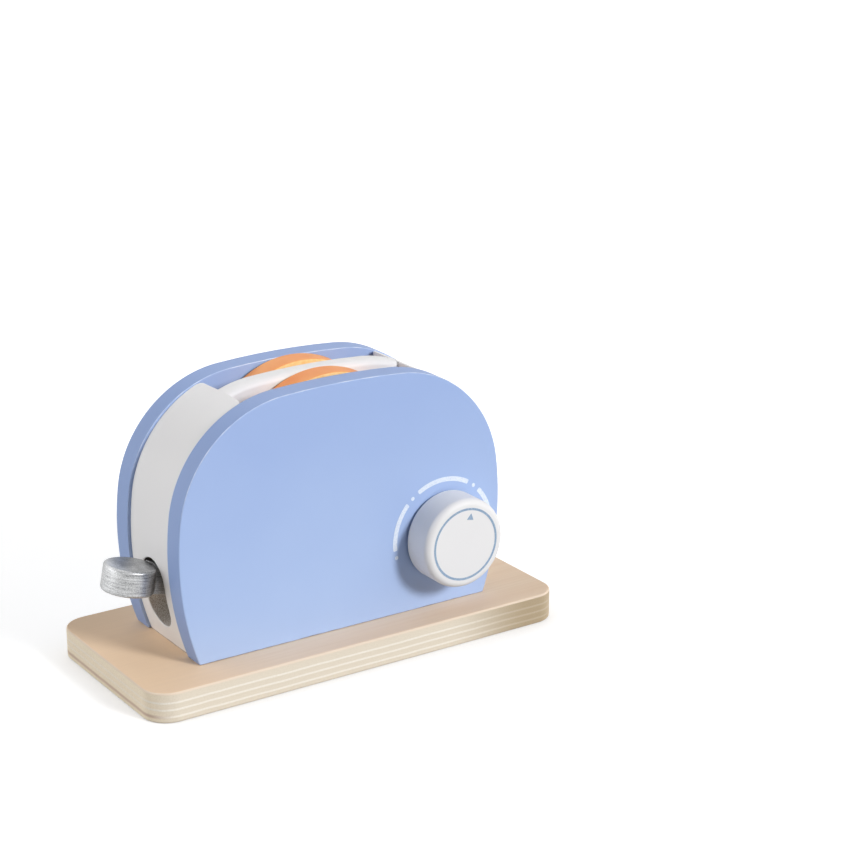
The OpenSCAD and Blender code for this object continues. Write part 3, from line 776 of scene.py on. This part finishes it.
tree.links.new(sheen.outputs[0], lacquer.inputs["Roughness"])
tree.links.new(brushed.outputs[0], lacquer.inputs["Normal"])

coat(knob, silver)
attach(knob, "lever")
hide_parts("lever_knob")
coat(frame["nodes"]["lever_arm"], silver)


# Toast. Two slices sawn from board with a domed top, their edges rounded, painted golden on the faces and
# orange-brown round the crust.
toast_ease = 1.0 * MM
toast_corner_r = 9 * MM
toast_crown_r = 46 * MM


def make_toast(name, node):
    """Makes a slice in the place of its CAD solid."""
    low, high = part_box(node)
    half = (high.x - low.x) / 2
    corner_x = half - toast_corner_r
    corner_z = low.z + toast_corner_r
    dome_z = high.z - toast_crown_r
    side = math.acos(half / toast_crown_r)
    side_z = dome_z + toast_crown_r * math.sin(side)
    piece = put_pen(name, (corner_x, low.y, low.z))
    draw_arc((corner_x, low.y, corner_z), math.pi / 2, step=math.radians(6))
    draw_to((half, low.y, side_z))
    draw_arc((0, low.y, dome_z), math.pi - 2 * side)
    draw_to((-half, low.y, corner_z))
    draw_arc((-corner_x, low.y, corner_z), math.pi / 2, step=math.radians(6))
    thicken((0, high.y - low.y, 0))
    pick("EDGE", lambda edge: lies_level(edge, 1))
    bpy.ops.mesh.bevel(offset=toast_ease, segments=4, affect="EDGES")
    bpy.ops.object.mode_set(mode="OBJECT")
    shade(piece)
    return piece


# Toast paint, sponged on: golden faces, mottled like crumb, and an orange-brown crust that is deeper here and
# there.
toasted, tree, paint, coords = start_material("toast_paint", {"Roughness": 0.5, "Specular IOR Level": 0.35})
crumb = 2.2 * MM
blush = 22 * MM
facing = add(tree, "ShaderNodeSeparateXYZ", {0: coords.outputs["Normal"]})
crumbs = add(tree, "ShaderNodeTexNoise", {
    "Vector": coords.outputs["Object"], "Scale": 1 / crumb, "Detail": 3.0})
browning = add(tree, "ShaderNodeTexNoise", {
    "Vector": coords.outputs["Object"], "Scale": 1 / blush, "Detail": 2.0})
brown_share = add(tree, "ShaderNodeMapRange", {
    "Value": browning.outputs[0], "From Min": 0.35, "From Max": 0.7})
crust = add(tree, "ShaderNodeMix", {
    0: brown_share.outputs[0], 6: linear("#F0A566"), 7: linear("#E98C48")}, data_type="RGBA")
crumb_share = add(tree, "ShaderNodeMapRange", {"Value": crumbs.outputs[0], "From Min": 0.4, "From Max": 0.7})
crumb_tone = add(tree, "ShaderNodeMix", {
    0: crumb_share.outputs[0], 6: linear("#F8CD8C"), 7: linear("#F3BC73")}, data_type="RGBA")
to_face = add(tree, "ShaderNodeMath", {0: facing.outputs["Y"]}, operation="ABSOLUTE")
on_face = add(tree, "ShaderNodeMapRange", {
    "Value": to_face.outputs[0], "From Min": 0.45, "From Max": 0.85}, interpolation_type="SMOOTHSTEP")
slice_tone = add(tree, "ShaderNodeMix", {
    0: on_face.outputs[0], 6: crust.outputs[2], 7: crumb_tone.outputs[2]}, data_type="RGBA")
sponged = add(tree, "ShaderNodeBump", {"Height": crumbs.outputs[0], "Strength": 0.12, "Distance": 0.1 * MM})
tree.links.new(slice_tone.outputs[2], paint.inputs["Base Color"])
tree.links.new(sponged.outputs[0], paint.inputs["Normal"])

for name, node in (("front_slice", "front_toast"), ("rear_slice", "rear_toast")):
    slice_of_toast = make_toast(name, node)
    coat(slice_of_toast, toasted)
    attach(slice_of_toast, node)
    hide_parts(node)


# Dial. A turned wooden disc with a well-rounded front edge and a stepped back, painted white, on a peg
# through the front panel. A grey ring and a small pointer are screen-printed on its face, and a felt washer
# lies behind it.
dial_low, dial_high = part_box("dial_knob")
dial_r = 21.9 * MM
dial_h = dial_high.y - dial_low.y
dial_edge_r = 3.2 * MM
dial_back_ease = 0.3 * MM
dial_step_h = 0.5 * MM
dial_step_r = 19.0 * MM
peg_socket_r = 4.05 * MM
peg_socket_h = 10.25 * MM
dial_turn = math.radians(-12)
ring_r = 17.3 * MM
ring_w = 1.1 * MM
pointer_tip_r = 15.2 * MM
pointer_l = 3.2 * MM
pointer_w = 3.8 * MM
ink_t = 0.06 * MM


def face_front(piece, depth, turn=0.0):
    """Lays a piece made round Z on the dial's axis, its top towards the front, and applies its place."""
    take(piece)
    piece.matrix_world = (Matrix.Translation((dial_axis.x, depth, dial_axis.z))
                          @ Matrix.Rotation(-turn, 4, "Y") @ Matrix.Rotation(math.pi / 2, 4, "X"))
    bpy.ops.object.transform_apply(location=True, rotation=True, scale=True)


dial = put_pen("white_dial", (0, 0, peg_socket_h))
draw_to((peg_socket_r, 0, peg_socket_h))
draw_to((peg_socket_r, 0, 0))
draw_to((dial_step_r, 0, 0))
draw_to((dial_step_r, 0, dial_step_h))
draw_to((dial_r - dial_back_ease, 0, dial_step_h))
draw_arc((dial_r - dial_back_ease, 0, dial_step_h + dial_back_ease), math.pi / 2, step=math.radians(22))
draw_to((dial_r, 0, dial_h - dial_edge_r))
draw_arc((dial_r - dial_edge_r, 0, dial_h - dial_edge_r), math.pi / 2, step=math.radians(9))
draw_to((0, 0, dial_h))
lathe(steps=128)
face_front(dial, dial_high.y)
shade(dial)
coat(dial, white)
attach(dial, "dial")
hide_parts("dial_knob")

# Screen ink: a thin flat film, a little uneven where the mesh of the screen held it back. The unevenness is
# drawn coarser than the real mesh of 0.1 mm, so that it shows.
ink_grain = 0.8 * MM


def make_ink(name, thick, thin):
    """Makes a printing ink from its colour where it lies thick and where it lies thin."""
    ink, tree, film, coords = start_material(name, {"Roughness": 0.5, "Specular IOR Level": 0.3})
    lay = add(tree, "ShaderNodeTexNoise", {
        "Vector": coords.outputs["Object"], "Scale": 1 / ink_grain, "Detail": 2.0})
    share = add(tree, "ShaderNodeMapRange", {"Value": lay.outputs[0], "From Min": 0.45, "From Max": 0.75})
    tone = add(tree, "ShaderNodeMix", {
        0: share.outputs[0], 6: linear(thick), 7: linear(thin)}, data_type="RGBA")
    tree.links.new(tone.outputs[2], film.inputs["Base Color"])
    return ink


grey_ink = make_ink("grey_blue_ink", "#8CA4BF", "#A9BCD0")
ring = put_pen("dial_ring_print", (ring_r - ring_w / 2, 0, -ink_t))
draw_to((ring_r + ring_w / 2, 0, -ink_t))
draw_to((ring_r + ring_w / 2, 0, ink_t))
draw_to((ring_r - ring_w / 2, 0, ink_t))
draw_to((ring_r - ring_w / 2, 0, -ink_t))
lathe(steps=128)
face_front(ring, dial_low.y)
pointer = put_pen("dial_pointer_print", (-pointer_w / 2, pointer_tip_r - pointer_l, -ink_t))
draw_to((pointer_w / 2, pointer_tip_r - pointer_l, -ink_t))
draw_to((0, pointer_tip_r, -ink_t))
draw_to((-pointer_w / 2, pointer_tip_r - pointer_l, -ink_t))
tidy_skin()
thicken((0, 0, 2 * ink_t))
bpy.ops.object.mode_set(mode="OBJECT")
face_front(pointer, dial_low.y, dial_turn)
for print_piece in (ring, pointer):
    coat(print_piece, grey_ink)
    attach(print_piece, "dial")

# Felt: pressed grey wool, all loose fibre ends, drawn coarser than the real 0.03 mm, so that they show.
felt, tree, wool, coords = start_material("grey_felt", {"Roughness": 0.95, "Sheen Weight": 0.3})
hair = 0.3 * MM
hairs = add(tree, "ShaderNodeTexNoise", {
    "Vector": coords.outputs["Object"], "Scale": 1 / hair, "Detail": 3.0})
wool_tone = add(tree, "ShaderNodeMix", {
    0: hairs.outputs[0], 6: linear("#3E4148"), 7: linear("#6A6D75")}, data_type="RGBA")
tree.links.new(wool_tone.outputs[2], wool.inputs["Base Color"])
coat(frame["nodes"]["dial_washer"], felt)


# Scale. White arcs and dots round the dial, alike on both sides. They are a thin film of ink, screen-printed
# on the front panel's blue paint before the dial goes on.
scale_r = 27.3 * MM
stroke = 2.3 * MM
dot_r = 0.95 * MM
scale_shift = Vector((-0.75 * MM, 0, -0.1 * MM))
scale_centre = dial_axis + scale_shift
scale_centre.y = front_low.y
print_corner = 0.6 * MM
top_arc = math.radians(31)
side_arc = (math.radians(47), math.radians(96.5))
dot_angles = (math.radians(39.3), math.radians(104))


def on_scale(angle, radius=scale_r):
    """The place on the panel at a radius from the scale's centre and an angle clockwise from straight up."""
    return scale_centre + radius * Vector((math.sin(angle), 0, math.cos(angle)))


def print_arc(start, end):
    """Prints an arc of the scale, clockwise from one angle to another, with square ends and soft corners."""
    lift = Vector((0, -ink_t, 0))
    inner, outer = scale_r - stroke / 2, scale_r + stroke / 2
    corners = [on_scale(angle, radius) + lift for angle in (start, end) for radius in (inner, outer)]
    piece = put_pen("scale_print", on_scale(start, outer) + lift)
    draw_arc(scale_centre + lift, start - end, step=math.radians(2))
    draw_to(on_scale(end, inner) + lift)
    draw_arc(scale_centre + lift, end - start, step=math.radians(2))
    draw_to(on_scale(start, outer) + lift)
    bpy.ops.mesh.select_all(action="SELECT")
    bpy.ops.mesh.remove_doubles(threshold=TINY)
    pick("VERT", lambda vert: min((vert.co - corner).length for corner in corners) < 10 * TINY)
    bpy.ops.mesh.bevel(offset=print_corner, segments=4, affect="VERTICES")
    thicken((0, 2 * ink_t, 0))
    bpy.ops.object.mode_set(mode="OBJECT")
    return piece


scale = [print_arc(-top_arc, top_arc), print_arc(*side_arc), print_arc(-side_arc[1], -side_arc[0])]
for angle in dot_angles:
    for turn in (-1, 1):
        spot = on_scale(turn * angle)
        scale.append(across("scale_print", dot_r, spot.x, spot.z, spot.y - ink_t, spot.y + ink_t))
scale = join_all(scale)
scale.name = "dial_scale_print"
coat(scale, make_ink("white_ink", "#E4ECF8", "#CFDCF2"))
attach(scale, "body")


# Stage. A pale paper floor that keeps the object's soft shadow, with a painted contact shadow darkest close
# to it, a white surround, and soft studio light from the front, above and a little to the right.
floor_size = 6.0
floor_gap = 0.1 * MM
contact_reach = 40 * MM
contact_shadow_glow, open_glow = 0.27, 0.7
ambient = 0.03


def shows_background(tree):
    """Adds the nodes that give 1 for a ray from the camera, a mirror or glass, and otherwise 0."""
    rays = add(tree, "ShaderNodeLightPath")
    seen = add(tree, "ShaderNodeMath", {
        0: rays.outputs["Is Camera Ray"], 1: rays.outputs["Is Glossy Ray"]}, operation="MAXIMUM")
    seen_through = add(tree, "ShaderNodeMath", {
        0: seen.outputs[0], 1: rays.outputs["Is Transmission Ray"]}, operation="MAXIMUM")
    return seen_through.outputs[0]


fresh()
bpy.ops.mesh.primitive_plane_add(size=floor_size, location=(0, 0, base_low.z - floor_gap))
floor = bpy.context.object
floor.name = "floor"

# Matt paper: pale, even and without gloss, lifted to the surround's white where nothing stands near it; near
# the object the lift dims, a painted contact shadow.
paper = bpy.data.materials.new("white_paper")
paper.use_nodes = True
tree = paper.node_tree
tree.nodes.clear()
matt = add(tree, "ShaderNodeBsdfDiffuse", {"Color": linear("#C4C4C4")})
# Painted contact shadow: the floor's glow drops where nearby parts hide the sky.
contact_shade_mask = add(tree, "ShaderNodeAmbientOcclusion", {"Distance": contact_reach}, samples=16)
lift = add(tree, "ShaderNodeMapRange", {
    "Value": contact_shade_mask.outputs["AO"], "To Min": contact_shadow_glow, "To Max": open_glow})
seen_lift = add(tree, "ShaderNodeMath", {0: shows_background(tree), 1: lift.outputs[0]}, operation="MULTIPLY")
glow = add(tree, "ShaderNodeEmission", {"Strength": seen_lift.outputs[0]})
lit = add(tree, "ShaderNodeAddShader", {0: matt.outputs[0], 1: glow.outputs[0]})
add(tree, "ShaderNodeOutputMaterial", {"Surface": lit.outputs[0]})
floor.data.materials.append(paper)

scene = bpy.context.scene
scene.view_settings.view_transform = "Standard"
studio = bpy.data.worlds.new("studio")
scene.world = studio
studio.use_nodes = True
tree = studio.node_tree
tree.nodes.clear()
soft = add(tree, "ShaderNodeBackground", {"Color": (1, 1, 1, 1), "Strength": ambient})
backdrop = add(tree, "ShaderNodeBackground", {"Color": (1, 1, 1, 1), "Strength": 1.0})
around = add(tree, "ShaderNodeMixShader", {
    0: shows_background(tree), 1: soft.outputs[0], 2: backdrop.outputs[0]})
add(tree, "ShaderNodeOutputWorld", {"Surface": around.outputs[0]})


def add_softbox(name, towards, strength, spread):
    """Adds soft light from a direction, as from a large, far softbox that spans an angle in degrees."""
    lamp = bpy.data.lights.new(name, "SUN")
    lamp.energy = strength
    lamp.angle = math.radians(spread)
    softbox = bpy.data.objects.new(name, lamp)
    softbox.rotation_euler = Vector(towards).to_track_quat("Z", "Y").to_euler()
    scene.collection.objects.link(softbox)


add_softbox("key", towards=(0.41, -1.0, 0.53), strength=2.35, spread=14)
add_softbox("right_fill", towards=(0.8, -0.8, 0.7), strength=0.7, spread=50)
add_softbox("left_fill", towards=(-1.0, 0.45, 0.45), strength=2.05, spread=70)
add_softbox("top_fill", towards=(0.3, 0.7, 1.0), strength=0.62, spread=60)


# Camera. At the photograph's viewing angle: a long lens about a metre away, looking down a little from the
# left of the front, and framed so that the point it aims at falls on the same pixel.
photo_px = 850
focal_px = 2141.9
azimuth = math.radians(-33.79)
elevation = math.radians(18.15)
distance = 1.013
aim = Vector((0, -0.4 * MM, 53.0 * MM))
aim_px = (312.2, 530.7)
right = Vector((math.cos(azimuth), math.sin(azimuth), 0))
back = Vector((math.sin(azimuth) * math.cos(elevation),
               -math.cos(azimuth) * math.cos(elevation),
               math.sin(elevation)))
up = back.cross(right)
ray = right * (aim_px[0] - photo_px / 2) / focal_px - up * (aim_px[1] - photo_px / 2) / focal_px - back
lens = bpy.data.cameras.new("camera")
lens.lens = focal_px * lens.sensor_width / photo_px
camera = bpy.data.objects.new("camera", lens)
facing_aim = Matrix((right, up, back)).transposed().to_4x4()
camera.matrix_world = Matrix.Translation(aim - distance * ray) @ facing_aim
scene.collection.objects.link(camera)
scene.camera = camera
